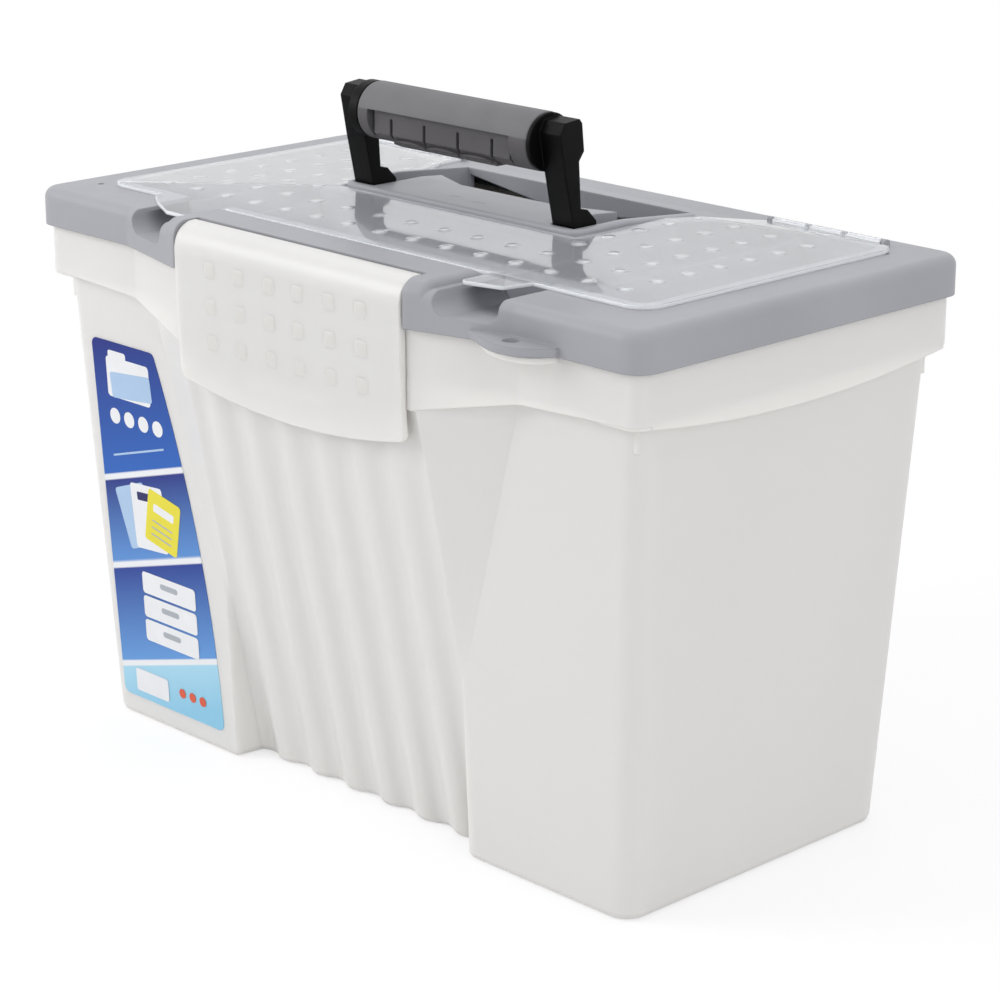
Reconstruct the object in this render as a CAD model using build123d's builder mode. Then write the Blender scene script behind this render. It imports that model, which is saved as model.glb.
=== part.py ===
from build123d import *
import math
import os

# Portable file box: a tapered bin, a hinged lid with an organiser tray under a clear
# cover, a front latch, a fold-down handle and a padlock hasp.
# Millimetres, +Z up, -Y is the front, X runs along the length.
# The origin is the middle of the underside of the bin.

os.makedirs("parts", exist_ok=True)

# ---------------------------------------------------------------- driving dimensions
# Lid and the plan outline that the lid and the bin's rim share
lid_length = 435.0
lid_width = 224.4
skirt_overlap = 5.1
deck_rise = 14.3
lid_wall = 2.5
deck_thickness = 2.5
plan_corner_radius = 12.0
lid_edge_radius = 5.5
bulge_depth = 14.3
bulge_half_flat = 85.0
bulge_half_foot = 140.0
knee_radius = 10.0

# Bin
end_taper = 13.0
side_taper = 11.5
end_step = 9.5
side_step = 9.7
wall_top_height = 244.0
bin_wall = 2.4
floor_thickness = 2.6
foot_radius = 3.4
rim_band_height = 31.5
rim_clearance = 1.2
seat_clearance = 0.3
seat_width = 4.5
band_corner_rise = 2.0
band_end_dip = 9.0
band_front_drop = 3.4
ledge_thickness = 2.4

# Fluted panel in the middle of the bin's front
panel_base_inset = 13.5
panel_top_drop = 12.8776
crease_half_base = 89.0
crease_half_top = 135.0
flute_pitch = 26.7
flute_half_waves = 13
flute_depth_base = 4.2
flute_depth_top = 2.0

# Crowned middle of the lid's deck and the hub round the handle well
crown_height = 4.4
crown_back = 58.0
hub_half_width = 84.3
hub_front = 16.2
hub_back = 72.0
hub_rise = 4.3
hub_back_drop = 4.5
hub_bend = 20.0
hub_corner_radius = 7.0
hub_edge_radius = 1.8

# Handle
post_inner = 64.5
post_outer = 78.6
foot_back = 3.6
pivot_drop = 0.3
pivot_radius = 3.0
pivot_reach = 4.0
grip_forward = 13.8
grip_rise = 48.9
grip_radius = 14.5
grip_left_reach = 58.5
grip_right_reach = 62.5
core_radius = 9.0
collar_radius = 14.3
handle_head = 12.8
pivot_boss_radius = 7.0
channel_play = 1.2
channel_front = 13.0
running_fit = 0.05
grip_panel_half = 50.6
grip_panel_depth = 3.2
grip_panel_rise = 2.8
grip_pad_pitch = 24.0
grip_pad_radius = 16.2
grip_end_slot = 49.5
grip_slot_width = 2.0
grip_slot_depth = 2.6
grip_slot_drop = 3.8

# Well for the folded handle
well_depth = 17.2
well_wall = 2.5
well_back = 68.5
well_back_radius = 12.0
pocket_front = 20.0
pocket_half_front = 34.0
pocket_slant = 14.0
finger_slot_outer = 78.5
finger_slot_inner = 23.0
finger_slot_bottom_rise = 6.9
finger_slot_top_rise = 18.2
finger_slot_end_rise = 10.6

# Clear cover over the organiser tray
cover_end_margin = 24.5
cover_front_margin = 28.7
cover_back_margin = 20.2
cover_corner_radius = 12.0
cover_thickness = 1.8
cover_gap = 0.15
cover_hub_gap = 0.9
cover_flare_start = 45.0
cover_flare_half = 110.0
tab_inner = 97.0
right_tab_outer = 120.0
right_tab_reach = 20.9
right_tab_slant = 5.7
left_tab_reach = 23.9
left_tab_knee = 113.0
left_tab_shoulder = 133.0
left_tab_shoulder_reach = 13.9
left_tab_outer = 146.5
left_tab_outer_reach = 5.1
tab_corner_radius = 3.0
barrel_radius = 2.0
barrel_inner_gap = 2.5
barrel_end_gap = 12.5
barrel_setback = 2.4
barrel_lift = 1.7
barrel_pin_radius = 1.1
barrel_pin_reach = 2.4
barrel_ear_width = 2.6
barrel_slot_width = 3.0

# Organiser tray under the deck
tray_depth = 19.2
tray_wall = 2.0
end_bay_length = 55.0
window_ledge = 7.0

# Finger scoops beside the latch
scoop_inner = 99.0
scoop_outer = 133.0
scoop_depth = 11.2
scoop_radius = 7.0

# Latch
latch_half_width = 81.8
latch_gap = 1.4
latch_wall = 1.9
latch_top_rise = 3.5
latch_top_setback = 13.2
latch_stand_off = 0.8
latch_bottom_lean = 3.2
latch_bottom_drop = 28.0
latch_bottom_sag = 8.5
latch_axis_setback = 9.5
latch_axis_drop = 1.0
latch_pin_radius = 1.8
latch_pin_reach = 5.0
latch_return_setback = 3.2
latch_recess_depth = 4.2
latch_ear_radius = 4.4
latch_ear_width = 2.4
hump_rise = 3.8
hump_half_width = 94.5
hump_length = 41.5
hump_edge_radius = 8.0
latch_groove_radius = 6.3
beam_depth = 19.0
hook_half_width = 29.0
hook_height = 3.0
hook_drop = 19.3
hook_reach = 4.2
catch_play = 0.7
catch_pad_half_width = 34.0
catch_pad_height = 16.0
catch_pad_depth = 9.2

# Padlock hasp on the lid and its twin lug on the bin
hasp_lift = 0.6
hasp_thickness = 4.0
hasp_overhang = 15.4
hasp_foot_gap = 5.5
hasp_hole_overhang = 5.8
hasp_hole_radius = 4.0
lug_thickness = 3.0
lug_inset = 3.5

# Lid hinge
hinge_overhang = 6.8
hinge_drop = 4.4
hinge_end_gap = 77.5
hinge_knuckle_radius = 5.0
hinge_pin_radius = 2.0
hinge_knuckle_width = 23.0
hinge_lug_width = 8.0
hinge_side_gap = 0.4
hinge_pin_head_radius = 3.2
hinge_pin_head_length = 1.2

# Rails for hanging files
rail_end_gap = 10.5
rail_thickness = 2.6
rail_rise = 18.0
rail_inset = 23.5
rail_lip = 3.0

# Label on the left front panel
label_thickness = 0.3
label_gap = 0.02
label_top_drop = 31.5
label_bottom = 12.0
label_end_gap_top = 19.2
label_end_gap_bottom = 11.4
label_corner_radius = 4.0
label_crease_gap_top = 2.0
label_crease_gap_middle = 21.8
label_middle = 121.0
label_crease_gap_bottom = 9.4

# ------------------------------------------------------------------- derived values
half_length = lid_length / 2
half_width = lid_width / 2
wall_top_length = lid_length - 2 * end_step
wall_top_width = lid_width - 2 * side_step
base_length = wall_top_length - 2 * end_taper
base_width = wall_top_width - 2 * side_taper
rim_top = wall_top_height + rim_band_height
seat_height = rim_top + seat_clearance
lid_skirt_bottom = rim_top - skirt_overlap
deck_height = rim_top + deck_rise
deck_underside = deck_height - deck_thickness
flank_run = bulge_half_foot - bulge_half_flat
flank_angle = math.atan2(bulge_depth, flank_run)
bulge_front = half_width + bulge_depth

# Bin: the fluted panel and the rim band meet at panel_top_height
band_inset = lid_wall + rim_clearance
band_face = bulge_front - band_inset
band_corner_height = wall_top_height + band_corner_rise
band_front_foot_height = band_corner_height - band_front_drop
wall_lean = side_taper / wall_top_height
panel_half_width = flute_half_waves * flute_pitch / 4
panel_top_height = wall_top_height - panel_top_drop
panel_slope = (band_face - base_width / 2 + panel_base_inset) / panel_top_height
panel_cross_height = panel_base_inset / (panel_slope - wall_lean)

# Handle, its hub and its well
hub_top = deck_height + crown_height + hub_rise
crown_half_width = hub_half_width - hub_edge_radius
crown_front = hub_front - hub_edge_radius
pivot_height = deck_height - pivot_drop
grip_height = pivot_height + grip_rise
grip_y = -grip_forward
handle_top = grip_height + handle_head
well_bottom = deck_height - well_depth
finger_slot_bottom = well_bottom + finger_slot_bottom_rise
finger_slot_top = well_bottom + finger_slot_top_rise
finger_slot_end = well_bottom + finger_slot_end_rise

# Cover, organiser tray and finger scoops
cover_length = lid_length - 2 * cover_end_margin
cover_front = half_width - cover_front_margin
cover_back = half_width - cover_back_margin
barrel_inner = cover_flare_half + barrel_inner_gap
barrel_outer = cover_length / 2 - barrel_end_gap
barrel_y = cover_back + barrel_setback
barrel_z = deck_height + barrel_lift
tray_floor_bottom = deck_height - tray_depth
tray_floor_top = tray_floor_bottom + tray_wall
divider_x = cover_length / 2 - end_bay_length
scoop_floor = deck_height - scoop_depth

# Latch, and the catch that its hook enters in the bin's panel
latch_top = deck_height + latch_top_rise
latch_top_back = bulge_front - latch_top_setback
latch_face = bulge_front + latch_stand_off
latch_bottom_side = wall_top_height - latch_bottom_drop
latch_axis_y = latch_axis_setback - bulge_front
latch_axis_height = deck_height - latch_axis_drop
latch_axis = (latch_axis_y, latch_axis_height)
latch_return_back = latch_return_setback - bulge_front
latch_recess_face = latch_recess_depth - bulge_front
hump_back = bulge_front - hump_length
beam_back = bulge_front - beam_depth
hook_level = wall_top_height - hook_drop
hook_tip = band_face - hook_reach
catch_pad_back = band_face - catch_pad_depth

# Hasp and lid hinge
hasp_bottom = lid_skirt_bottom + hasp_lift
hasp_top = hasp_bottom + hasp_thickness
hasp_reach = half_width + hasp_overhang
hasp_hole_x = bulge_half_foot + hasp_foot_gap
hasp_hole_y = -half_width - hasp_hole_overhang
hinge_axis_y = half_width + hinge_overhang
hinge_axis_height = lid_skirt_bottom - hinge_drop
hinge_axis = (hinge_axis_y, hinge_axis_height)
hinge_centre_x = half_length - hinge_end_gap

# Rails and label
rail_half_length = wall_top_width / 2 - rail_end_gap
rail_top = wall_top_height + rail_rise
rail_inner_x = half_length - rail_inset
label_top = wall_top_height - label_top_drop
label_left_top = label_end_gap_top - wall_top_length / 2
label_left_bottom = label_end_gap_bottom - base_length / 2
label_right_top = -crease_half_top - label_crease_gap_top
label_right_middle = -crease_half_base - label_crease_gap_middle
label_right_bottom = -crease_half_base - label_crease_gap_bottom
tall = 60.0


def outline(inset):
    """Plan outline of the lid, moved inwards by inset: a rectangle with a swollen front."""
    knee_shift = inset * math.tan(flank_angle / 2)
    side = half_length - inset
    edge = half_width - inset
    foot = bulge_half_foot - knee_shift
    flat = bulge_half_flat - knee_shift
    with BuildSketch() as plan:
        with BuildLine():
            Polyline(
                (-side, edge),
                (side, edge),
                (side, -edge),
                (foot, -edge),
                (flat, inset - bulge_front),
                (-flat, inset - bulge_front),
                (-foot, -edge),
                (-side, -edge),
                close=True,
            )
        make_face()
        corners = plan.vertices().filter_by(lambda v: abs(abs(v.X) - side) < 0.01)
        fillet(corners, max(plan_corner_radius - inset, 1.0))
        knees = plan.vertices().filter_by(lambda v: abs(v.X) < foot + 0.01)
        fillet(knees, knee_radius)
    return plan.sketch


def panel_y(height):
    """Front of the fluted panel's ridges at a height."""
    return -min(base_width / 2 - panel_base_inset + panel_slope * height, band_face)


def wall_section(height, inset, knee_shift):
    """Plan section of the bin's wall: rounded corners and a fluted panel in front."""
    share = height / wall_top_height
    flute = flute_depth_base + (flute_depth_top - flute_depth_base) * share
    side = (base_length + (wall_top_length - base_length) * share) / 2 - inset
    edge = (base_width + (wall_top_width - base_width) * share) / 2 - inset
    rise = max(height - panel_cross_height, 0) / (wall_top_height - panel_cross_height)
    crease = crease_half_base + (crease_half_top - crease_half_base) * rise - knee_shift
    panel = panel_half_width - knee_shift
    front = panel_y(height) + inset
    radius = plan_corner_radius - inset
    bend = radius * (1 - math.cos(math.radians(45)))
    half_wave = 2 * panel / flute_half_waves
    swing = (flute / 2, -flute / 2)
    with BuildSketch(Plane.XY.offset(height)) as section:
        with BuildLine():
            Line((-side + radius, edge), (side - radius, edge))
            ThreePointArc(
                (side - radius, edge), (side - bend, edge - bend), (side, edge - radius)
            )
            Line((side, edge - radius), (side, radius - edge))
            ThreePointArc(
                (side, radius - edge), (side - bend, bend - edge), (side - radius, -edge)
            )
            Line((side - radius, -edge), (crease, -edge))
            Line((crease, -edge), (panel, front + flute / 2))
            for i in range(flute_half_waves):
                x = panel - i * half_wave
                ThreePointArc(
                    (x, front + flute / 2),
                    (x - half_wave / 2, front + flute / 2 + swing[i % 2]),
                    (x - half_wave, front + flute / 2),
                )
            Line((-panel, front + flute / 2), (-crease, -edge))
            Line((-crease, -edge), (radius - side, -edge))
            ThreePointArc(
                (radius - side, -edge), (bend - side, bend - edge), (-side, radius - edge)
            )
            Line((-side, radius - edge), (-side, edge - radius))
            ThreePointArc(
                (-side, edge - radius), (bend - side, edge - bend), (radius - side, edge)
            )
        make_face()
    return section.sketch


def crown(lift):
    """The low hipped rise in the middle of the deck, its foot raised by lift."""
    foot = deck_height + lift
    with BuildPart() as rise:
        with BuildSketch(Plane.XY.offset(foot)):
            with Locations((0, (cover_back - cover_front) / 2)):
                Rectangle(cover_length, cover_back + cover_front)
        with BuildSketch(Plane.XY.offset(foot + crown_height)):
            with Locations((0, (crown_back - crown_front) / 2)):
                Rectangle(2 * crown_half_width, crown_back + crown_front)
        loft(ruled=True)
    return rise.part


def organiser_plan(inset):
    """Plan of the U round the handle well, its outline moved inwards by inset."""
    side = cover_length / 2 - inset
    throat = hub_half_width + cover_hub_gap + inset
    with BuildSketch() as plan:
        with BuildLine():
            Polyline(
                (side, cover_back - inset),
                (side, inset - cover_front),
                (-side, inset - cover_front),
                (-side, cover_back - inset),
                (-cover_flare_half - inset, cover_back - inset),
                (-throat, cover_flare_start),
                (-throat, -hub_front - cover_hub_gap - inset),
                (throat, -hub_front - cover_hub_gap - inset),
                (throat, cover_flare_start),
                (cover_flare_half + inset, cover_back - inset),
                close=True,
            )
        make_face()
        corners = plan.vertices().filter_by(lambda v: abs(abs(v.X) - side) < 0.01)
        fillet(corners, max(cover_corner_radius - inset, 2.0))
    return plan.sketch


def hasp_outline(inset, root):
    """Plan of the padlock lug: a low rounded nose that grows out of the flank."""
    start = hasp_hole_x - 28.0 + inset
    end = hasp_hole_x + 23.5 - inset
    shoulder = -half_width - 5.5
    with BuildSketch() as plan:
        with BuildLine():
            Spline(
                (start, shoulder + inset),
                (hasp_hole_x - 9.0, inset - hasp_reach + 2.0),
                (hasp_hole_x + 3.0, inset - hasp_reach),
                (hasp_hole_x + 14.0, inset - hasp_reach + 3.6),
                (end, shoulder + 3.5 + inset),
            )
            Polyline(
                (end, shoulder + 3.5 + inset),
                (end, root),
                (start, root),
                (start, shoulder + inset),
            )
        make_face()
    return plan.sketch

# -------------------------------------------------------------------- shared cutters
with BuildPart() as deck_void:
    with BuildSketch(Plane.XY.offset(tray_floor_bottom - 1)):
        add(outline(lid_wall + seat_width))
    extrude(amount=deck_underside - tray_floor_bottom + 1)
    add(crown(-deck_thickness))

with BuildPart() as scoop_void:
    with BuildSketch(Plane.XZ.offset(bulge_front + 5)) as scoop_shape:
        with Locations(((scoop_inner + scoop_outer) / 2, scoop_floor + tall / 2)):
            Rectangle(scoop_outer - scoop_inner, tall)
        fillet(scoop_shape.vertices().group_by(Axis.Z)[0], scoop_radius)
    extrude(amount=cover_front - window_ledge - bulge_front - 5)
    mirror(about=Plane.YZ)

# ------------------------------------------------------------------------------ bin
with BuildPart() as bin_body:
    # Rim band, with a lower edge that dips at the ends and towards the front bulge
    with BuildSketch(Plane.XY.offset(panel_top_height)):
        add(outline(band_inset))
    extrude(amount=rim_top - panel_top_height)
    trim_y = wall_top_width / 2 - 3
    with BuildSketch(Plane.XZ.offset(trim_y)):
        with BuildLine():
            Polyline(
                (panel_half_width, panel_top_height - 1),
                (panel_half_width, panel_top_height + 0.6),
                (bulge_half_foot, band_front_foot_height),
                (half_length, band_corner_height),
                (half_length, panel_top_height - 1),
                close=True,
            )
        make_face()
        mirror(about=Plane.YZ)
    extrude(amount=tall, mode=Mode.SUBTRACT)
    with BuildSketch(Plane.XY.offset(panel_top_height - 1)):
        with Locations((0, trim_y + tall / 2)):
            Rectangle(lid_length, tall)
    extrude(amount=band_corner_height - panel_top_height + 1, mode=Mode.SUBTRACT)
    for side in (-1, 1):
        with BuildSketch(Plane.YZ.offset(side * (wall_top_length / 2 - 3))):
            with BuildLine():
                ThreePointArc(
                    (-half_width, band_corner_height),
                    (0, band_corner_height - band_end_dip),
                    (half_width, band_corner_height),
                )
                Polyline(
                    (half_width, band_corner_height),
                    (half_width, panel_top_height - 1),
                    (-half_width, panel_top_height - 1),
                    (-half_width, band_corner_height),
                )
            make_face()
        extrude(amount=side * tall, mode=Mode.SUBTRACT)

    # Tapered wall with the fluted panel, on a rounded foot
    foot_bend = foot_radius * (1 - math.cos(math.radians(45)))
    add(wall_section(0, foot_radius, -foot_radius))
    add(wall_section(foot_bend, foot_bend, -foot_bend))
    loft(ruled=True)
    add(wall_section(foot_bend, foot_bend, -foot_bend))
    add(wall_section(foot_radius, 0, 0))
    loft(ruled=True)
    add(wall_section(foot_radius, 0, 0))
    add(wall_section(panel_cross_height, 0, 0))
    loft(ruled=True)
    add(wall_section(panel_cross_height, 0, 0))
    add(wall_section(panel_top_height, 0, 0))
    loft(ruled=True)
    add(wall_section(panel_top_height, 0, 0))
    add(wall_section(wall_top_height, 0, 0))
    loft(ruled=True)
    with BuildSketch(Plane.XY.offset(wall_top_height)):
        add(outline(band_inset + 0.5))
    extrude(amount=ledge_thickness)

    # Padlock lug under the lid's hasp
    lug_top = lid_skirt_bottom - seat_clearance
    with BuildSketch(Plane.XY.offset(lug_top - lug_thickness)):
        add(hasp_outline(lug_inset, band_inset + bin_wall - half_width))
        with Locations((hasp_hole_x, hasp_hole_y)):
            Circle(hasp_hole_radius, mode=Mode.SUBTRACT)
    extrude(amount=lug_thickness)

    # Lid hinge knuckles on arms behind the band
    for centre in (-hinge_centre_x, hinge_centre_x):
        with BuildSketch(Plane.YZ.offset(centre - hinge_knuckle_width / 2)):
            with Locations(hinge_axis):
                Circle(hinge_knuckle_radius)
            arm_length = hinge_axis_y - half_width + band_inset
            with Locations((hinge_axis_y - arm_length / 2, hinge_axis_height - 2.5)):
                Rectangle(arm_length, 5)
            with Locations(hinge_axis):
                Circle(hinge_pin_radius + running_fit, mode=Mode.SUBTRACT)
        extrude(amount=hinge_knuckle_width)

    # Cavity up to the ledge, then the wider mouth inside the band
    add(wall_section(floor_thickness, bin_wall, -bin_wall))
    add(wall_section(panel_cross_height, bin_wall, 0))
    loft(ruled=True, mode=Mode.SUBTRACT)
    knee_top = bin_wall * math.tan(flank_angle / 2)
    add(wall_section(panel_cross_height, bin_wall, 0))
    add(wall_section(panel_top_height, bin_wall, knee_top))
    loft(ruled=True, mode=Mode.SUBTRACT)
    add(wall_section(panel_top_height, bin_wall, knee_top))
    add(wall_section(wall_top_height, bin_wall, knee_top))
    loft(ruled=True, mode=Mode.SUBTRACT)
    add(wall_section(wall_top_height, bin_wall, knee_top))
    extrude(amount=ledge_thickness, mode=Mode.SUBTRACT)
    with BuildSketch(Plane.XY.offset(wall_top_height + ledge_thickness)):
        add(outline(band_inset + bin_wall))
    extrude(amount=tall, mode=Mode.SUBTRACT)

    # Catch for the latch: a pad behind the panel with a slot in its face
    with BuildSketch(Plane.XZ.offset(catch_pad_back)):
        with Locations((0, hook_level)):
            Rectangle(2 * catch_pad_half_width, catch_pad_height)
    extrude(amount=hook_tip + catch_play + 0.3 - catch_pad_back)
    slot_half_width = hook_half_width + catch_play
    with BuildSketch(Plane.XZ.offset(hook_tip - catch_play)):
        with Locations((0, hook_level)):
            Rectangle(2 * slot_half_width, hook_height + 2 * catch_play)
    extrude(amount=tall, mode=Mode.SUBTRACT)
bin_body.part.label = "bin"
export_step(bin_body.part, "parts/bin.step")

# ----------------------------------------------------------- rails for hanging files
rail_outer_x = half_length - band_inset - bin_wall - seat_clearance
with BuildPart() as file_rail_right:
    with BuildSketch(Plane.XZ.offset(-rail_half_length)):
        with BuildLine():
            Polyline(
                (rail_outer_x, wall_top_height + ledge_thickness),
                (rail_outer_x, rail_top),
                (rail_inner_x, rail_top),
                (rail_inner_x, rail_top - rail_thickness - rail_lip),
                (rail_inner_x + rail_thickness, rail_top - rail_thickness - rail_lip),
                (rail_inner_x + rail_thickness, rail_top - rail_thickness),
                (rail_outer_x - rail_thickness, rail_top - rail_thickness),
                (rail_outer_x - rail_thickness, wall_top_height + ledge_thickness),
                close=True,
            )
        make_face()
    extrude(amount=2 * rail_half_length)
file_rail_right.part.label = "file_rail_right"
export_step(file_rail_right.part, "parts/file_rail_right.step")

with BuildPart() as file_rail_left:
    add(file_rail_right.part.mirror(Plane.YZ))
file_rail_left.part.label = "file_rail_left"
export_step(file_rail_left.part, "parts/file_rail_left.step")

# ------------------------------------------------------------------------------ lid
with BuildPart() as hump:
    # Raised frame round the latch, trimmed to the lid's outline
    with BuildSketch(Plane.XY.offset(seat_height)):
        add(outline(0))
    extrude(amount=deck_height + hump_rise - seat_height)
    rim_edges = hump.faces().sort_by(Axis.Z)[-1].edges()
    fillet(rim_edges, hump_edge_radius)
    with BuildSketch(Plane.YZ.offset(-hump_half_width)):
        with BuildLine():
            Polyline(
                (-beam_back, seat_height),
                (-beam_back, deck_underside),
                (-hump_back, deck_underside),
                (-hump_back, deck_height),
                (-hump_back - 6, deck_height + hump_rise),
                (-bulge_front - 5, deck_height + hump_rise),
                (-bulge_front - 5, seat_height),
                close=True,
            )
        make_face()
    extrude(amount=2 * hump_half_width, mode=Mode.INTERSECT)
    crest = hump.faces().sort_by(Axis.Z)[-1]
    ends = crest.edges().filter_by(Axis.Y)
    fillet(ends, hump_rise - 0.6)

with BuildPart() as scoop_blocks:
    with BuildSketch(Plane.XY.offset(seat_height)):
        add(outline(1.0))
    extrude(amount=deck_underside - seat_height)
    with BuildSketch(Plane.XY.offset(seat_height)):
        block_back = cover_front - window_ledge + tray_wall
        for side in (-1, 1):
            with Locations((side * (scoop_inner + scoop_outer) / 2, -block_back - tall / 2)):
                Rectangle(scoop_outer - scoop_inner + 6, tall)
    extrude(amount=tall, mode=Mode.INTERSECT)

with BuildPart() as well_void:
    # Room for the folded handle, rounded at the back under the grip
    with BuildSketch(Plane.XY.offset(well_bottom)):
        with BuildLine():
            Polyline(
                (pocket_half_front, pocket_front),
                (post_inner - channel_play, pocket_front + pocket_slant),
                (post_inner - channel_play, -channel_front),
                (post_outer + channel_play, -channel_front),
                (post_outer + channel_play, well_back),
                (0, well_back),
            )
            mirror(about=Plane.YZ)
            Line((-pocket_half_front, pocket_front), (pocket_half_front, pocket_front))
        make_face()
    extrude(amount=tall)
    back_edge = well_void.edges().filter_by(Axis.X).group_by(Axis.Z)[0].sort_by(Axis.Y)[-1]
    fillet(back_edge, well_back_radius)

    # Slots for the fingertips in the back wall
    with BuildSketch(Plane.XZ.offset(-hub_back - 1)):
        with BuildLine():
            Polyline(
                (finger_slot_outer, finger_slot_bottom),
                (finger_slot_outer, finger_slot_top),
                (finger_slot_inner, finger_slot_end),
                (finger_slot_inner, finger_slot_bottom),
                close=True,
            )
        make_face()
        mirror(about=Plane.YZ)
    extrude(amount=hub_back + 1 - well_back + well_back_radius)

with BuildPart() as hub:
    # Raised frame round the handle well; its top falls towards the back
    with BuildSketch(Plane.XY.offset(well_bottom - well_wall)) as hub_plan:
        with Locations((0, (hub_back - hub_front) / 2)):
            Rectangle(2 * hub_half_width, hub_back + hub_front)
        fillet(hub_plan.vertices(), hub_corner_radius)
    extrude(amount=hub_top - well_bottom + well_wall)
    with BuildSketch(Plane.YZ.offset(-hub_half_width)):
        with BuildLine():
            Polyline(
                (hub_bend, hub_top),
                (hub_back, hub_top - hub_back_drop),
                (hub_back, hub_top),
                close=True,
            )
        make_face()
    extrude(amount=2 * hub_half_width, mode=Mode.SUBTRACT)
    crest = hub.faces().filter_by(lambda f: f.normal_at().Z > 0.9).edges()
    rims = crest.filter_by(lambda e: abs(e.center().Y - hub_bend) > 1)
    fillet(rims, hub_edge_radius)
    add(well_void.part, mode=Mode.SUBTRACT)

with BuildPart() as lid:
    # Skirt and deck with a rounded edge
    with BuildSketch(Plane.XY.offset(lid_skirt_bottom)):
        add(outline(0))
    extrude(amount=deck_height - lid_skirt_bottom)
    deck_edges = lid.faces().sort_by(Axis.Z)[-1].edges()
    fillet(deck_edges, lid_edge_radius)
    add(crown(0))

    # Padlock hasp
    with BuildSketch(Plane.XY.offset(hasp_bottom)):
        add(hasp_outline(0, -half_width + 1))
        with Locations((hasp_hole_x, hasp_hole_y)):
            Circle(hasp_hole_radius, mode=Mode.SUBTRACT)
    extrude(amount=hasp_top - hasp_bottom)

    # Hollow underside with the seat for the bin's rim
    add(deck_void.part, mode=Mode.SUBTRACT)
    with BuildSketch(Plane.XY.offset(lid_skirt_bottom - 1)):
        add(outline(lid_wall))
    extrude(amount=seat_height - lid_skirt_bottom + 1, mode=Mode.SUBTRACT)
    add(hump.part)
    add(scoop_blocks.part)

    # Hub round the handle well, hollow under its front shelf
    add(well_void.part, mode=Mode.SUBTRACT)
    add(hub.part)
    with BuildSketch(Plane.XY.offset(hub_top - well_wall)):
        with BuildLine():
            Polyline(
                (pocket_half_front, pocket_front - well_wall),
                (post_inner - channel_play - well_wall, pocket_front + pocket_slant - 3.5),
                (post_inner - channel_play - well_wall, well_wall - hub_front),
                (0, well_wall - hub_front),
            )
            mirror(about=Plane.YZ)
            Line(
                (-pocket_half_front, pocket_front - well_wall),
                (pocket_half_front, pocket_front - well_wall),
            )
        make_face()
    extrude(amount=-tall, mode=Mode.SUBTRACT)

    # Bores for the handle's pivot pegs
    with BuildSketch(Plane.YZ.offset(-post_outer - pivot_reach - seat_clearance)):
        with Locations((0, pivot_height)):
            Circle(pivot_radius + running_fit)
    extrude(amount=2 * (post_outer + pivot_reach + seat_clearance), mode=Mode.SUBTRACT)

    # Opening over the organiser tray, and the finger scoops
    with BuildSketch(Plane.XY.offset(deck_underside - 2)):
        add(organiser_plan(window_ledge))
    extrude(amount=tall, mode=Mode.SUBTRACT)
    add(scoop_void.part, mode=Mode.SUBTRACT)

    # Recess and groove for the latch, with blind bores for its trunnions
    recess_half_width = latch_half_width + latch_gap
    with BuildSketch(Plane.YZ.offset(-recess_half_width)):
        with BuildLine():
            Polyline(
                (-bulge_front - 5, lid_skirt_bottom - 5),
                (latch_recess_face, lid_skirt_bottom - 5),
                (latch_recess_face, latch_axis_height),
                (latch_axis_y + latch_groove_radius, latch_axis_height),
                (latch_axis_y + latch_groove_radius, deck_height + tall),
                (-bulge_front - 5, deck_height + tall),
                close=True,
            )
        make_face()
        with Locations(latch_axis):
            Circle(latch_groove_radius)
    extrude(amount=2 * recess_half_width, mode=Mode.SUBTRACT)
    bore_end = recess_half_width + latch_pin_reach + seat_clearance
    with BuildSketch(Plane.YZ.offset(-bore_end)):
        with Locations(latch_axis):
            Circle(latch_pin_radius + running_fit)
    extrude(amount=2 * bore_end, mode=Mode.SUBTRACT)

    # Ears behind the skirt for the lid hinge
    for centre in (-hinge_centre_x, hinge_centre_x):
        for side in (-1, 1):
            ear_gap = hinge_knuckle_width / 2 + hinge_side_gap
            ear_middle = centre + side * (ear_gap + hinge_lug_width / 2)
            with BuildSketch(Plane.YZ.offset(ear_middle - hinge_lug_width / 2)):
                with Locations(hinge_axis):
                    Circle(hinge_knuckle_radius)
                with Locations((half_width - 0.6, deck_height - 12.5)):
                    Rectangle(1.2, 11)
                make_hull()
                with Locations(hinge_axis):
                    Circle(hinge_pin_radius + running_fit, mode=Mode.SUBTRACT)
            extrude(amount=hinge_lug_width)

    # Trough, ears and pegs for the cover's hinge
    trough_inner = barrel_inner - 2 * seat_clearance - barrel_ear_width
    trough_outer = barrel_outer + 2 * seat_clearance + barrel_ear_width
    for side in (-1, 1):
        with BuildSketch(Plane.YZ.offset(side * trough_inner)):
            with Locations((barrel_y, barrel_z)):
                Circle(barrel_radius + 0.4)
        extrude(amount=side * (trough_outer - trough_inner), mode=Mode.SUBTRACT)
        for start, peg in ((trough_inner, 1), (trough_outer, -1)):
            with BuildSketch(Plane.YZ.offset(side * start)):
                with Locations((barrel_y, barrel_z)):
                    Circle(barrel_radius)
                with Locations((barrel_y, barrel_z - 2)):
                    Rectangle(2 * barrel_radius, 4)
            extrude(amount=side * peg * barrel_ear_width)
            with BuildSketch(Plane.YZ.offset(side * start)):
                with Locations((barrel_y, barrel_z)):
                    Circle(barrel_pin_radius)
            extrude(amount=side * peg * (barrel_ear_width + barrel_pin_reach))
lid.part.label = "lid"
export_step(lid.part, "parts/lid.step")

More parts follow.
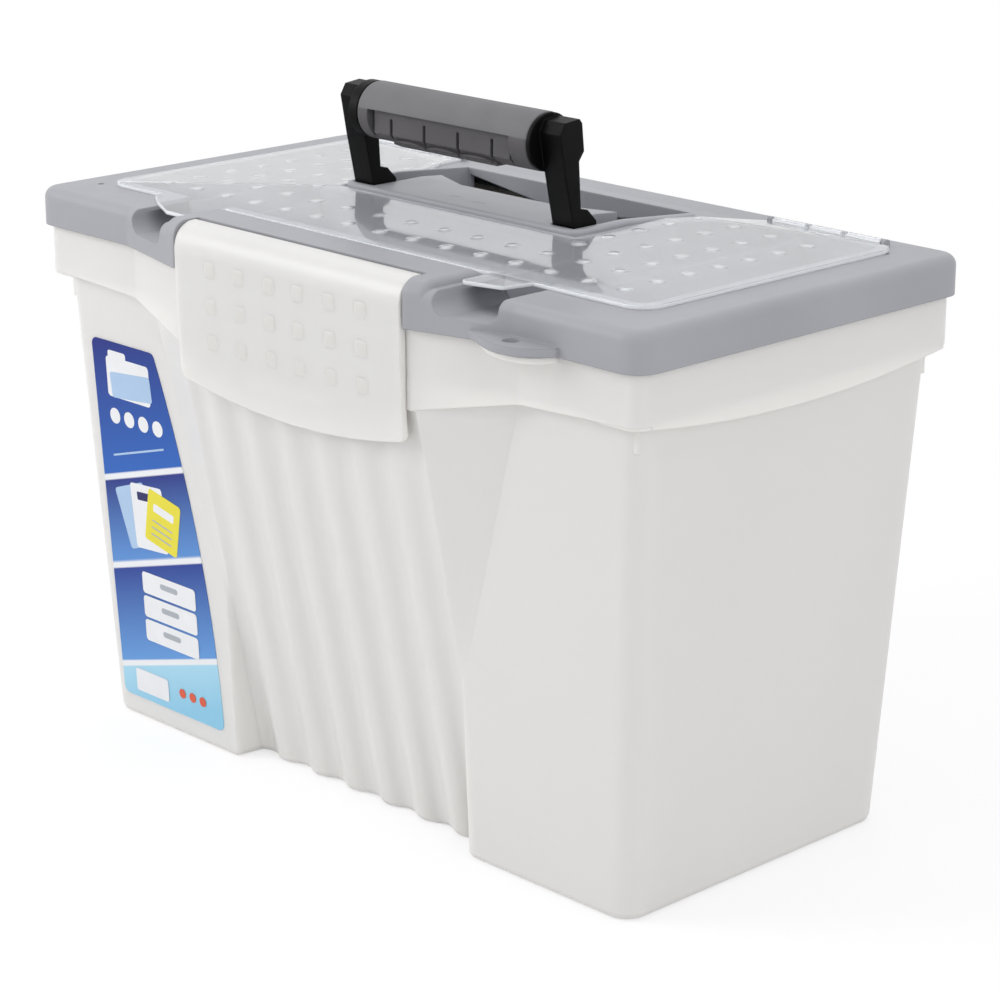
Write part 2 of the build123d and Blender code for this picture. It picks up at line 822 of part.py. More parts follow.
# ------------------------------------------------------------------- organiser tray
with BuildPart() as organiser_tray:
    with BuildSketch(Plane.XY.offset(tray_floor_bottom)):
        add(organiser_plan(window_ledge - tray_wall))
    extrude(amount=deck_height + crown_height - tray_floor_bottom)
    add(deck_void.part, mode=Mode.INTERSECT)
    with BuildSketch(Plane.XY.offset(tray_floor_top)):
        add(organiser_plan(window_ledge))
    extrude(amount=tall, mode=Mode.SUBTRACT)
    divider_front = window_ledge - cover_front
    divider_back = cover_back - window_ledge
    throat_edge = hub_half_width + cover_hub_gap + window_ledge
    short_back = -hub_front - cover_hub_gap - window_ledge
    with BuildSketch(Plane.XY.offset(tray_floor_bottom)):
        for side in (-1, 1):
            with Locations((side * divider_x, (divider_front + divider_back) / 2)):
                Rectangle(tray_wall, divider_back - divider_front)
            with Locations((side * throat_edge, (divider_front + short_back) / 2)):
                Rectangle(tray_wall, short_back - divider_front)
    extrude(amount=deck_underside - tray_floor_bottom - 1)
    add(scoop_void.part, mode=Mode.SUBTRACT)
organiser_tray.part.label = "organiser_tray"
export_step(organiser_tray.part, "parts/organiser_tray.step")

# ------------------------------------------------------------------- clear tray cover
with BuildPart() as tray_cover:
    cover_bottom = deck_height + cover_gap
    with BuildSketch(Plane.XY.offset(cover_bottom)):
        Rectangle(lid_length, 2 * bulge_front)
    extrude(amount=cover_thickness)
    add(crown(cover_gap + cover_thickness))
    add(crown(cover_gap), mode=Mode.SUBTRACT)
    with BuildSketch(Plane.XY.offset(cover_bottom - 1)):
        add(organiser_plan(0))
        # Right finger tab, and the left one that runs out in a long slant
        with BuildLine():
            Polyline(
                (tab_inner, 1 - cover_front),
                (tab_inner, -cover_front - right_tab_reach),
                (right_tab_outer, right_tab_slant - right_tab_reach - cover_front),
                (right_tab_outer + 4, 1 - cover_front),
                close=True,
            )
        make_face()
        with BuildLine():
            Polyline(
                (-tab_inner, 1 - cover_front),
                (-tab_inner, -cover_front - left_tab_reach),
                (-left_tab_knee, -cover_front - left_tab_reach),
                (-left_tab_shoulder, -cover_front - left_tab_shoulder_reach),
                (-left_tab_outer, -cover_front - left_tab_outer_reach),
                (-left_tab_outer - 0.5, 1 - cover_front),
                close=True,
            )
        make_face()
    extrude(amount=tall, mode=Mode.INTERSECT)
    upright = tray_cover.edges().filter_by(Axis.Z)
    tab_edges = upright.filter_by(lambda e: e.center().Y < -cover_front - 4)
    fillet(tab_edges, tab_corner_radius)

    # Hinge barrel in three segments on each wing
    for side in (-1, 1):
        with BuildSketch(Plane.YZ.offset(side * barrel_inner)):
            with Locations((barrel_y, barrel_z)):
                Circle(barrel_radius)
            web_middle = barrel_y - barrel_setback / 2
            with Locations((web_middle, cover_bottom + cover_thickness / 2)):
                Rectangle(barrel_setback, cover_thickness)
            with Locations((barrel_y, barrel_z)):
                Circle(barrel_pin_radius + running_fit, mode=Mode.SUBTRACT)
        extrude(amount=side * (barrel_outer - barrel_inner))
        segment = (barrel_outer - barrel_inner) / 3
        with BuildSketch(Plane.XY.offset(cover_bottom - 1)):
            for slot in (1, 2):
                slot_x = side * (barrel_inner + slot * segment)
                with Locations((slot_x, cover_back + barrel_setback)):
                    Rectangle(barrel_slot_width, 2 * barrel_setback)
        extrude(amount=tall, mode=Mode.SUBTRACT)
tray_cover.part.label = "tray_cover"
export_step(tray_cover.part, "parts/tray_cover.step")

# ---------------------------------------------------------------------------- latch
face_y = -latch_face
low = latch_bottom_side - latch_bottom_sag - 3
with BuildPart() as latch:
    with BuildSketch(Plane.YZ.offset(-latch_half_width)):
        with BuildLine():
            Spline(
                (-latch_top_back, latch_top),
                (-latch_top_back - 5.3, latch_top - 0.5),
                (-latch_top_back - 11, latch_top - 4),
                (face_y + 0.3, latch_top - 10),
                (face_y, latch_top - 15),
            )
            ThreePointArc(
                (face_y, latch_top - 15),
                (face_y + 0.3, (latch_top + low) / 2),
                (face_y + latch_bottom_lean, low),
            )
            Polyline(
                (face_y + latch_bottom_lean, low),
                (face_y + latch_bottom_lean + 3, low),
                (latch_return_back, panel_top_height + 2),
                (latch_return_back, latch_axis_height - 3.5),
                (latch_axis_y, latch_axis_height),
                (-latch_top_back, latch_top - 3),
                (-latch_top_back, latch_top),
            )
        make_face()
    extrude(amount=2 * latch_half_width)

    # Hollow behind the face
    inner_half_width = latch_half_width - latch_wall
    with BuildSketch(Plane.YZ.offset(-inner_half_width)):
        with BuildLine():
            Spline(
                (-latch_top_back + 1, latch_top - latch_wall),
                (-latch_top_back - 4.7, latch_top - latch_wall - 0.4),
                (-latch_top_back - 9.6, latch_top - latch_wall - 3.4),
                (face_y + latch_wall + 0.3, latch_top - 10.6),
                (face_y + latch_wall, latch_top - 15),
            )
            ThreePointArc(
                (face_y + latch_wall, latch_top - 15),
                (face_y + latch_wall + 0.3, (latch_top + low) / 2),
                (face_y + latch_wall + latch_bottom_lean, low - 1),
            )
            Polyline(
                (face_y + latch_wall + latch_bottom_lean, low - 1),
                (-latch_top_back + 1, low - 1),
                (-latch_top_back + 1, latch_top - latch_wall),
            )
        make_face()
    extrude(amount=2 * inner_half_width, mode=Mode.SUBTRACT)

    # Bottom edge that sags in the middle
    with BuildSketch(Plane.XZ) as face_outline:
        with BuildLine():
            ThreePointArc(
                (-latch_half_width, latch_bottom_side),
                (0, latch_bottom_side - latch_bottom_sag),
                (latch_half_width, latch_bottom_side),
            )
            Polyline(
                (latch_half_width, latch_bottom_side),
                (latch_half_width, latch_top + 5),
                (-latch_half_width, latch_top + 5),
                (-latch_half_width, latch_bottom_side),
            )
        make_face()
        fillet(face_outline.vertices().group_by(Axis.Z)[0], 4)
    extrude(amount=bulge_front + tall, mode=Mode.INTERSECT)

    # Ears, trunnions and the hook
    for side in (-1, 1):
        with BuildSketch(Plane.YZ.offset(side * (latch_half_width - latch_ear_width))):
            with Locations(latch_axis):
                Circle(latch_ear_radius)
        extrude(amount=side * latch_ear_width)
        with BuildSketch(Plane.YZ.offset(side * (latch_half_width - latch_ear_width))):
            with Locations(latch_axis):
                Circle(latch_pin_radius)
        extrude(amount=side * (latch_ear_width + latch_gap + latch_pin_reach))
    with BuildSketch(Plane.XZ.offset(hook_tip)):
        with Locations((0, hook_level)):
            Rectangle(2 * hook_half_width, hook_height)
    extrude(amount=latch_face - hook_tip - latch_wall)
latch.part.label = "latch"
export_step(latch.part, "parts/latch.step")

# --------------------------------------------------------------------------- handle
with BuildPart() as handle_frame:
    for side in (-1, 1):
        with BuildSketch(Plane.YZ.offset(side * post_inner)):
            with BuildLine():
                Polyline(
                    (-12, hub_top),
                    (grip_y - 3.5, grip_height - 15),
                    (grip_y - 7.3, handle_top - 7.0),
                    (grip_y - 4.0, handle_top - 1.6),
                    (grip_y + 5.5, handle_top - 0.6),
                    (grip_y + 7.2, handle_top - 2.8),
                    (grip_y + 8.6, grip_height - 3.5),
                    (grip_y + 5.3, grip_height - 8),
                    (foot_back - 10.7, hub_top + 8.7),
                    (foot_back - 6.0, hub_top + 7.6),
                    (foot_back, hub_top + 1.5),
                    (foot_back, pivot_height),
                    (-pivot_boss_radius, pivot_height),
                    close=True,
                )
            make_face()
            with Locations((0, pivot_height)):
                Circle(pivot_boss_radius)
        extrude(amount=side * (post_outer - post_inner))
        with BuildSketch(Plane.YZ.offset(side * post_outer)):
            with Locations((0, pivot_height)):
                Circle(pivot_radius)
        extrude(amount=side * pivot_reach)
    with BuildSketch(Plane.YZ.offset(-post_inner)):
        with Locations((grip_y, grip_height)):
            Circle(collar_radius)
    extrude(amount=post_inner - grip_left_reach)
    with BuildSketch(Plane.YZ.offset(post_inner)):
        with Locations((grip_y, grip_height)):
            Circle(collar_radius)
    extrude(amount=grip_right_reach - post_inner)
    with BuildSketch(Plane.YZ.offset(-grip_left_reach)):
        with Locations((grip_y, grip_height)):
            Circle(core_radius)
    extrude(amount=grip_left_reach + grip_right_reach)
handle_frame.part.label = "handle_frame"
export_step(handle_frame.part, "parts/handle_frame.step")

with BuildPart() as grip_pads:
    with BuildSketch(Plane.YZ.offset(-grip_panel_half)):
        with Locations((grip_y, grip_height)):
            Circle(grip_pad_radius)
            Circle(core_radius + 1, mode=Mode.SUBTRACT)
    extrude(amount=2 * grip_panel_half)
    with BuildSketch(Plane.XZ.offset(-grip_y - grip_radius)):
        for pad in (-1, 0, 1):
            with Locations((pad * grip_pad_pitch, grip_height - grip_radius + 1)):
                Ellipse(grip_pad_pitch / 2 + 1, grip_pad_radius - grip_radius + 1)
    extrude(amount=2 * grip_radius, mode=Mode.INTERSECT)

with BuildPart() as handle_grip:
    with BuildSketch(Plane.YZ.offset(-grip_left_reach)):
        with Locations((grip_y, grip_height)):
            Circle(grip_radius)
            Circle(core_radius, mode=Mode.SUBTRACT)
    extrude(amount=grip_left_reach + grip_right_reach)
    grip_rims = handle_grip.edges().filter_by(GeomType.CIRCLE)
    fillet(grip_rims.filter_by(lambda e: abs(e.radius - grip_radius) < 0.01), 1.6)

    # Finger pads that bulge under the grip
    add(grip_pads.part)

    # Flat finger panel low on the front, crossed by slots between the pads
    panel_front = grip_radius - grip_panel_depth
    panel_top = grip_height + grip_panel_rise
    with BuildSketch(Plane.XZ.offset(-grip_y + panel_front)):
        with Locations((0, panel_top - tall / 2)):
            Rectangle(2 * grip_panel_half, tall)
    extrude(amount=tall, mode=Mode.SUBTRACT)
    with BuildSketch(Plane.XZ.offset(-grip_y + panel_front - grip_slot_depth)):
        for i in range(-2, 2):
            with Locations(((i + 0.5) * grip_pad_pitch, panel_top - grip_slot_drop - tall / 2)):
                Rectangle(grip_slot_width, tall)
        for side in (-1, 1):
            with Locations((side * grip_end_slot, panel_top - tall / 2)):
                Rectangle(grip_slot_width, tall)
    extrude(amount=tall, mode=Mode.SUBTRACT)
handle_grip.part.label = "handle_grip"
export_step(handle_grip.part, "parts/handle_grip.step")

# ---------------------------------------------------------------------------- label
wall_plane = Plane(
    origin=(0, -base_width / 2 - label_gap, 0),
    x_dir=(1, 0, 0),
    z_dir=(0, -1, -wall_lean),
)
with BuildPart() as label:
    with BuildSketch(wall_plane) as label_plan:
        with BuildLine():
            Polyline(
                (label_left_top, label_top),
                (label_left_bottom, label_bottom),
                (label_right_bottom, label_bottom),
            )
            Spline(
                (label_right_bottom, label_bottom),
                (label_right_middle, label_middle),
                (label_right_top, label_top),
            )
            Line((label_right_top, label_top), (label_left_top, label_top))
        make_face()
        fillet(label_plan.vertices(), label_corner_radius)
    extrude(amount=label_thickness)
label.part.label = "label"
export_step(label.part, "parts/label.step")

# ------------------------------------------------------------------- lid hinge pins
pin_half = hinge_knuckle_width / 2 + hinge_side_gap + hinge_lug_width + hinge_side_gap
with BuildPart() as hinge_pin_right:
    with BuildSketch(Plane.YZ.offset(hinge_centre_x - pin_half)):
        with Locations(hinge_axis):
            Circle(hinge_pin_radius)
    extrude(amount=2 * pin_half)
    for side in (-1, 1):
        with BuildSketch(Plane.YZ.offset(hinge_centre_x + side * pin_half)):
            with Locations(hinge_axis):
                Circle(hinge_pin_head_radius)
        extrude(amount=side * hinge_pin_head_length)
hinge_pin_right.part.label = "hinge_pin_right"
export_step(hinge_pin_right.part, "parts/hinge_pin_right.step")

with BuildPart() as hinge_pin_left:
    add(hinge_pin_right.part.mirror(Plane.YZ))
hinge_pin_left.part.label = "hinge_pin_left"
export_step(hinge_pin_left.part, "parts/hinge_pin_left.step")
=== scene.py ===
import math
import bmesh
import bpy
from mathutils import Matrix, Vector
from mathutils.bvhtree import BVHTree


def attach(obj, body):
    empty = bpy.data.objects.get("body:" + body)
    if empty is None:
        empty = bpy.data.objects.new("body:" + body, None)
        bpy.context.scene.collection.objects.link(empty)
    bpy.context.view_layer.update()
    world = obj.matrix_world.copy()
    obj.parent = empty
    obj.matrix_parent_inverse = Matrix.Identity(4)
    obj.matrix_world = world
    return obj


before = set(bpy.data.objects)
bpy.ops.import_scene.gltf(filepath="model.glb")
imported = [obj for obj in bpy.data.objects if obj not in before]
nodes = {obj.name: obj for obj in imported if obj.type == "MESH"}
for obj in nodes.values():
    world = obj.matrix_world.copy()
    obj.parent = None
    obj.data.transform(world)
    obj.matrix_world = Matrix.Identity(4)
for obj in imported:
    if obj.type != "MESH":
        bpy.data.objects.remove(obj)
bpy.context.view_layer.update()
MM = 0.001

# Places on the box at rest, in millimetres, that the materials pick out.
# A range in X, Y or Z is given as (low, high); a point on top of the lid as (x, y).
dimple_pitch = (23.5, 20.7)
dimple_row = -65.5
dimple_radius = 4.3
dimple_reach = 184.0
dimple_range = (-76.0, 66.0)
hub_half = 86.0
hub_front = -35.0
front_roll_start = -54.0
front_roll_depth = 2.9e-6

# Small hollows on the lid's deck, coloured dark as painted shade.
shaded_hollow_dots = ((-197.0, -85.0), (192.0, 83.0))
shaded_hollow_radius = 2.0
shaded_hollow_floor = 285.0
hub_dents = ((-13.4, -2.8), (5.1, -4.6))
hub_dent_size = (6.5, 2.6)
hub_dent_floor = 297.0
# The box in which painted shade darkens the lid's scoops towards their backs.
shaded_scoop_sides = (98.0, 134.0)
shaded_scoop_heights = (277.8, 287.8)
scoop_shade_fade = (-108.0, -94.0)
shaded_scoop_back = -60.0

grip_panel_back = -7.8
grip_panel_top = 341.2
grip_panel_edge = 0.4


# ---------------------------------------------------------------- material helpers
def srgb(r, g, b):
    """Linear colour of an sRGB value given as 0 to 255."""
    out = []
    for v in (r, g, b):
        c = v / 255
        out.append(c / 12.92 if c <= 0.04045 else ((c + 0.055) / 1.055) ** 2.4)
    return (*out, 1.0)


def tint(color, factor):
    return tuple(min(1.0, c * factor) for c in color[:3]) + (1.0,)


class Mat:
    """A Principled material, with short calls for the nodes that feed it."""

    def __init__(self, name, color, roughness=0.5, **sockets):
        self.mat = bpy.data.materials.new(name)
        self.mat.use_nodes = True
        self.tree = self.mat.node_tree
        self.shader = self.tree.nodes["Principled BSDF"]
        self.set("Base Color", color)
        self.set("Roughness", roughness)
        for key, value in sockets.items():
            self.set(key.replace("_", " "), value)
        self.mat.diffuse_color = color

    def set(self, socket, value):
        self.shader.inputs[socket].default_value = value

    def drive(self, socket, source):
        self.link(source, self.shader.inputs[socket])

    def node(self, kind, **values):
        n = self.tree.nodes.new(kind)
        for key, value in values.items():
            setattr(n, key, value)
        return n

    def link(self, a, b):
        self.tree.links.new(a, b)

    def feed(self, socket, value):
        """Links value to the socket where it is a socket itself, else sets it."""
        if isinstance(value, bpy.types.NodeSocket):
            self.link(value, socket)
        else:
            socket.default_value = value

    def math(self, operation, a, b=0.0):
        n = self.node("ShaderNodeMath", operation=operation)
        self.feed(n.inputs[0], a)
        self.feed(n.inputs[1], b)
        return n.outputs[0]

    def every(self, first, *rest):
        """Product of masks: 1 only where all of them are 1."""
        for mask in rest:
            first = self.math("MULTIPLY", first, mask)
        return first

    def place(self):
        """X, Y and Z on the object at rest, in millimetres."""
        scaled = self.node("ShaderNodeVectorMath", operation="SCALE")
        scaled.inputs["Scale"].default_value = 1 / MM
        self.link(self.node("ShaderNodeTexCoord").outputs["Object"], scaled.inputs[0])
        parts = self.node("ShaderNodeSeparateXYZ")
        self.link(scaled.outputs[0], parts.inputs[0])
        return parts.outputs[0], parts.outputs[1], parts.outputs[2]

    def noise(self, scale, detail=3.0, stretch=(1, 1, 1)):
        """Noise of so many spans per metre, stretched along an axis by a factor below 1."""
        mapping = self.node("ShaderNodeMapping")
        mapping.inputs["Scale"].default_value = stretch
        self.link(self.node("ShaderNodeTexCoord").outputs["Object"], mapping.inputs["Vector"])
        n = self.node("ShaderNodeTexNoise")
        n.inputs["Scale"].default_value = scale
        n.inputs["Detail"].default_value = detail
        self.link(mapping.outputs["Vector"], n.inputs["Vector"])
        return n.outputs["Fac"]

    def ramp(self, fac, stops):
        r = self.node("ShaderNodeValToRGB")
        r.color_ramp.elements[0].position = stops[0][0]
        r.color_ramp.elements[0].color = stops[0][1]
        r.color_ramp.elements[1].position = stops[-1][0]
        r.color_ramp.elements[1].color = stops[-1][1]
        for position, color in stops[1:-1]:
            r.color_ramp.elements.new(position).color = color
        self.link(fac, r.inputs["Fac"])
        return r.outputs["Color"]

    def range(self, fac, low, high, source=(0.0, 1.0), smooth=False):
        m = self.node("ShaderNodeMapRange")
        m.interpolation_type = "SMOOTHSTEP" if smooth else "LINEAR"
        m.inputs["From Min"].default_value = source[0]
        m.inputs["From Max"].default_value = source[1]
        m.inputs["To Min"].default_value = low
        m.inputs["To Max"].default_value = high
        self.link(fac, m.inputs["Value"])
        return m.outputs["Result"]

    def mix(self, fac, a, b):
        n = self.node("ShaderNodeMix", data_type="RGBA")
        self.link(fac, n.inputs["Factor"])
        self.feed(n.inputs[6], a)
        self.feed(n.inputs[7], b)
        return n.outputs[2]

    def oval(self, x, y, centre, half_axes, soft=0.35):
        """1 inside an oval on the object, falling to 0 across its soft edge."""
        u = self.math("DIVIDE", self.math("SUBTRACT", x, centre[0]), half_axes[0])
        v = self.math("DIVIDE", self.math("SUBTRACT", y, centre[1]), half_axes[1])
        squares = self.math("ADD", self.math("MULTIPLY", u, u), self.math("MULTIPLY", v, v))
        far = self.math("SQRT", squares)
        return self.range(far, 1.0, 0.0, (1 - soft, 1.0), smooth=True)

    def ovals(self, x, y, centres, half_axes, floor, z, soft=0.35):
        """Several ovals of one size, on what lies above the floor height."""
        found = 0.0
        for centre in centres:
            found = self.math("MAXIMUM", self.oval(x, y, centre, half_axes, soft), found)
        return self.every(found, self.math("GREATER_THAN", z, floor))

    def bump(self, layers, rounding=0.0):
        """Chains bump layers of (height, strength, distance) over edges rounded in shading."""
        last = None
        if rounding:
            bevel = self.node("ShaderNodeBevel", samples=8)
            bevel.inputs["Radius"].default_value = rounding
            last = bevel.outputs["Normal"]
        for height, strength, distance in layers:
            b = self.node("ShaderNodeBump")
            b.inputs["Strength"].default_value = strength
            b.inputs["Distance"].default_value = distance
            self.link(height, b.inputs["Height"])
            if last is not None:
                self.link(last, b.inputs["Normal"])
            last = b.outputs["Normal"]
        self.drive("Normal", last)


# ------------------------------------------------------------------------ materials
def natural_plastic(name, color, roughness, grain, waviness, translucency=0.45):
    """Translucent white polypropylene: light inside, a fine grain and flow waves."""
    m = Mat(name, color, roughness, IOR=1.49)
    m.set("Subsurface Weight", translucency)
    m.set("Subsurface Radius", (1.0, 0.95, 0.88))
    m.set("Subsurface Scale", 0.010)
    cloud = m.noise(9, 3, (1, 1, 0.45))
    m.drive("Base Color", m.ramp(cloud, [(0.3, tint(color, 0.97)), (0.7, color)]))
    m.drive("Roughness", m.range(m.noise(30, 4), roughness - 0.05, roughness + 0.07))
    waves = m.noise(14, 2, (1, 1, 0.5))
    m.bump([(waves, waviness, 0.002), (m.noise(2600, 2), grain, 0.0002)], 0.0012)
    return m.mat


def lid_plastic():
    """Grey polypropylene with a fine grain, dents, small hollows coloured dark as painted
    shade, and painted shade in the scoops.
    """
    color = srgb(167, 168, 174)
    m = Mat("lid_polypropylene", color, 0.44, IOR=1.49)
    m.set("Specular IOR Level", 0.42)
    x, y, z = m.place()
    dot_hollows_and_shade = m.ovals(x, y, shaded_hollow_dots, (shaded_hollow_radius, shaded_hollow_radius), shaded_hollow_floor, z)
    dents = m.ovals(x, y, hub_dents, hub_dent_size, hub_dent_floor, z, 0.8)
    aside = m.math("ABSOLUTE", x)
    # Painted shade: the scoops' back walls darken towards the back, standing in for the shadow
    # under the cover's tabs.
    shade = m.every(
        m.range(y, 0.0, 0.75, scoop_shade_fade, smooth=True),
        m.math("GREATER_THAN", aside, shaded_scoop_sides[0]),
        m.math("LESS_THAN", aside, shaded_scoop_sides[1]),
        m.math("LESS_THAN", y, shaded_scoop_back),
        m.math("GREATER_THAN", z, shaded_scoop_heights[0]),
        m.math("LESS_THAN", z, shaded_scoop_heights[1]),
    )
    body = m.ramp(m.noise(18, 4), [(0.32, tint(color, 0.95)), (0.68, tint(color, 1.03))])
    # The scoops' painted shade colour, mixed over the grey.
    body = m.mix(shade, body, srgb(58, 60, 66))
    # The dark colour in the small hollows is painted shade.
    m.drive("Base Color", m.mix(dot_hollows_and_shade, body, srgb(92, 92, 98)))
    m.drive("Roughness", m.range(m.noise(60, 4), 0.38, 0.52))
    hollows = m.math("MULTIPLY", m.math("MAXIMUM", dot_hollows_and_shade, dents), -1.0)
    waves = (m.noise(22, 2), 0.05, 0.001)
    grain = (m.noise(3200, 2), 0.26, 0.00025)
    m.bump([waves, (hollows, 0.7, 0.0012), grain], 0.0011)
    return m.mat


def cover_plastic():
    """Clear sheet with moulded dimples, frosted at the dimples and along its edges."""
    m = Mat("clear_plastic", srgb(247, 249, 252), 0.06, IOR=1.5)
    x, y, z = m.place()
    column = m.math("ROUND", m.math("DIVIDE", x, dimple_pitch[0]))
    offset = m.math("SUBTRACT", y, dimple_row)
    row = m.math("ROUND", m.math("DIVIDE", offset, dimple_pitch[1]))
    across = m.math("SUBTRACT", x, m.math("MULTIPLY", column, dimple_pitch[0]))
    along = m.math("SUBTRACT", offset, m.math("MULTIPLY", row, dimple_pitch[1]))
    aside = m.math("ABSOLUTE", x)
    beside_hub = m.math("GREATER_THAN", aside, hub_half)
    before_hub = m.math("LESS_THAN", y, hub_front)
    disc = m.every(
        m.oval(across, along, (0.0, 0.0), (dimple_radius, dimple_radius), 0.75),
        m.math("MAXIMUM", beside_hub, before_hub),
        m.math("LESS_THAN", aside, dimple_reach),
        m.math("LESS_THAN", y, dimple_range[1]),
        m.math("GREATER_THAN", y, dimple_range[0]),
    )

    facing = m.node("ShaderNodeSeparateXYZ")
    m.link(m.node("ShaderNodeTexCoord").outputs["Normal"], facing.inputs[0])
    edge = m.math("LESS_THAN", m.math("ABSOLUTE", facing.outputs[2]), 0.6)
    frosted_disc = m.math("MULTIPLY", disc, 0.42)
    frosted_edge = m.math("MULTIPLY", edge, 0.8)
    frost = m.math("MAXIMUM", frosted_disc, frosted_edge)
    m.drive("Transmission Weight", m.math("SUBTRACT", 0.88, frost))
    m.drive("Roughness", m.range(m.noise(45, 4), 0.03, 0.12))

    # Most light passes straight through, so that the compartments below are lit
    shadow = m.node("ShaderNodeLightPath").outputs["Is Shadow Ray"]
    m.drive("Alpha", m.math("SUBTRACT", 1.0, m.math("MULTIPLY", shadow, 0.85)))

    past = m.math("MAXIMUM", m.math("SUBTRACT", front_roll_start, y), 0.0)
    roll = m.math("MULTIPLY", m.math("MULTIPLY", past, past), -front_roll_depth)
    waves = (m.noise(16, 2), 0.05, 0.001)
    m.bump([(roll, 1.0, 1.0), waves, (disc, 1.0, 0.0005)], 0.0012)
    return m.mat


def handle_plastic():
    """Black satin plastic with a fine grain."""
    m = Mat("handle_plastic", srgb(9, 9, 10), 0.40, IOR=1.5)
    m.set("Specular IOR Level", 0.10)
    m.drive("Roughness", m.range(m.noise(80, 5), 0.32, 0.55))
    m.bump([(m.noise(2600, 2), 0.25, 0.0002)], 0.0012)
    return m.mat


def grip_rubber():
    """Grey rubber, with a darker finger panel low on the front."""
    color = srgb(118, 118, 121)
    dark = srgb(92, 90, 92)
    m = Mat("grip_rubber", color, 0.60, IOR=1.5)
    m.set("Specular IOR Level", 0.32)
    x, y, z = m.place()
    low = m.range(
        z, 1.0, 0.0, (grip_panel_top - grip_panel_edge, grip_panel_top + grip_panel_edge)
    )
    panel = m.every(low, m.math("LESS_THAN", y, grip_panel_back))
    mottle = m.noise(40, 4)
    upper = m.ramp(mottle, [(0.3, tint(color, 0.93)), (0.7, tint(color, 1.05))])
    lower = m.ramp(mottle, [(0.3, tint(dark, 0.92)), (0.7, tint(dark, 1.06))])
    m.drive("Base Color", m.mix(panel, upper, lower))
    m.bump([(m.noise(2200, 3), 0.35, 0.0003)], 0.0008)
    return m.mat


bin_mat = natural_plastic("bin_polypropylene", srgb(246, 243, 239), 0.38, 0.16, 0.10)
rail_mat = natural_plastic("rail_plastic", srgb(236, 236, 234), 0.42, 0.12, 0.05)
latch_mat = natural_plastic("latch_frosted", srgb(244, 242, 238), 0.34, 0.08, 0.06)
pad_mat = natural_plastic("latch_pads", srgb(224, 223, 220), 0.34, 0.08, 0.0, 0.0)
lid_mat = lid_plastic()

paint = {
    "bin": bin_mat,
    "file_rail_left": rail_mat,
    "file_rail_right": rail_mat,
    "lid": lid_mat,
    "organiser_tray": lid_mat,
    "tray_cover": cover_plastic(),
    "latch": latch_mat,
    "handle_frame": handle_plastic(),
    "handle_grip": grip_rubber(),
    "hinge_pin_left": lid_mat,
    "hinge_pin_right": lid_mat,
}
for name, mat in paint.items():
    mesh = nodes[name].data
    mesh.materials.clear()
    mesh.materials.append(mat)


# ---------------------------------------------------------------- small pieces' helpers
def add_piece(name, bm, materials, body):
    """Makes an object of the mesh, with the given materials, on a body."""
    mesh = bpy.data.meshes.new(name)
    bm.to_mesh(mesh)
    bm.free()
    for mat in materials:
        mesh.materials.append(mat)
    obj = bpy.data.objects.new(name, mesh)
    bpy.context.collection.objects.link(obj)
    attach(obj, body)


def front_of(node):
    """Returns a function that gives the Y of the node's front at an X and Z in mm."""
    mesh = nodes[node].data
    tree = BVHTree.FromPolygons(
        [v.co.copy() for v in mesh.vertices], [tuple(p.vertices) for p in mesh.polygons]
    )

    def probe(x, z):
        hit = tree.ray_cast(Vector((x * MM, -0.3, z * MM)), Vector((0, 1, 0)))
        return hit[0].y / MM

    return probe


# ------------------------------------------------------------------- pads on the latch
pad_half = 4.2
pad_steps = 8
pad_sink = 0.06
pad_places = (10.5, 33.0, 55.0)
pad_rows = ((274.0, 0.45), (256.0, 0.4), (238.0, 0.22))


def latch_pads():
    """Low rounded squares moulded on the latch's face, in rows that fade downwards.

    A row is given as its height on the box and the pads' rise, a place as its
    distance from the middle.
    """
    probe = front_of("latch")
    bm = bmesh.new()
    for z, rise in pad_rows:
        for x in [-place for place in reversed(pad_places)] + list(pad_places):
            grid = []
            for i in range(pad_steps + 1):
                line = []
                for j in range(pad_steps + 1):
                    u = 2 * i / pad_steps - 1
                    v = 2 * j / pad_steps - 1
                    # A superellipse of the sixth power rounds the square's corners
                    squash = 1 / (abs(u) ** 6 + abs(v) ** 6 + 1e-9) ** (1 / 6)
                    reach = max(abs(u), abs(v))
                    px = x + pad_half * u * squash * reach
                    pz = z + pad_half * v * squash * reach
                    lift = rise * (1 - reach**5) - pad_sink
                    corner = (px * MM, (probe(px, pz) - lift) * MM, pz * MM)
                    line.append(bm.verts.new(corner))
                grid.append(line)
            for near, far in zip(grid, grid[1:]):
                for j in range(pad_steps):
                    face = bm.faces.new((near[j], far[j], far[j + 1], near[j + 1]))
                    face.smooth = True
    add_piece("latch_pads", bm, [pad_mat], "latch")


# ----------------------------------------------------------------------- the label
# The white bands climb to the right. Each is given by its height at band_foot_x.
band_slope = 0.28
band_foot_x = -184.0
bands = (27.9, 85.3, 134.9)
band_half = 1.7
label_top = 214.0

# The label's art: the middle of each motif, as (x, height)
folder_place = (-159.5, 193.0)
dot_row_place = (-173.0, 171.5)
dot_row_pitch = 12.0
line_place = (-155.0, 147.0)
fan_place = (-150.0, 119.5)
drawer_place = (-137.5, 81.6)
drawer_pitch = 13.6
bare_panel_place = (-158.0, 22.5)
orange_dot_place = (-132.0, 24.5)
orange_dot_pitch = 8.6

# Each shape of the art lies a little before the shape under it
art_lift = 0.03
art_layer = 0.01


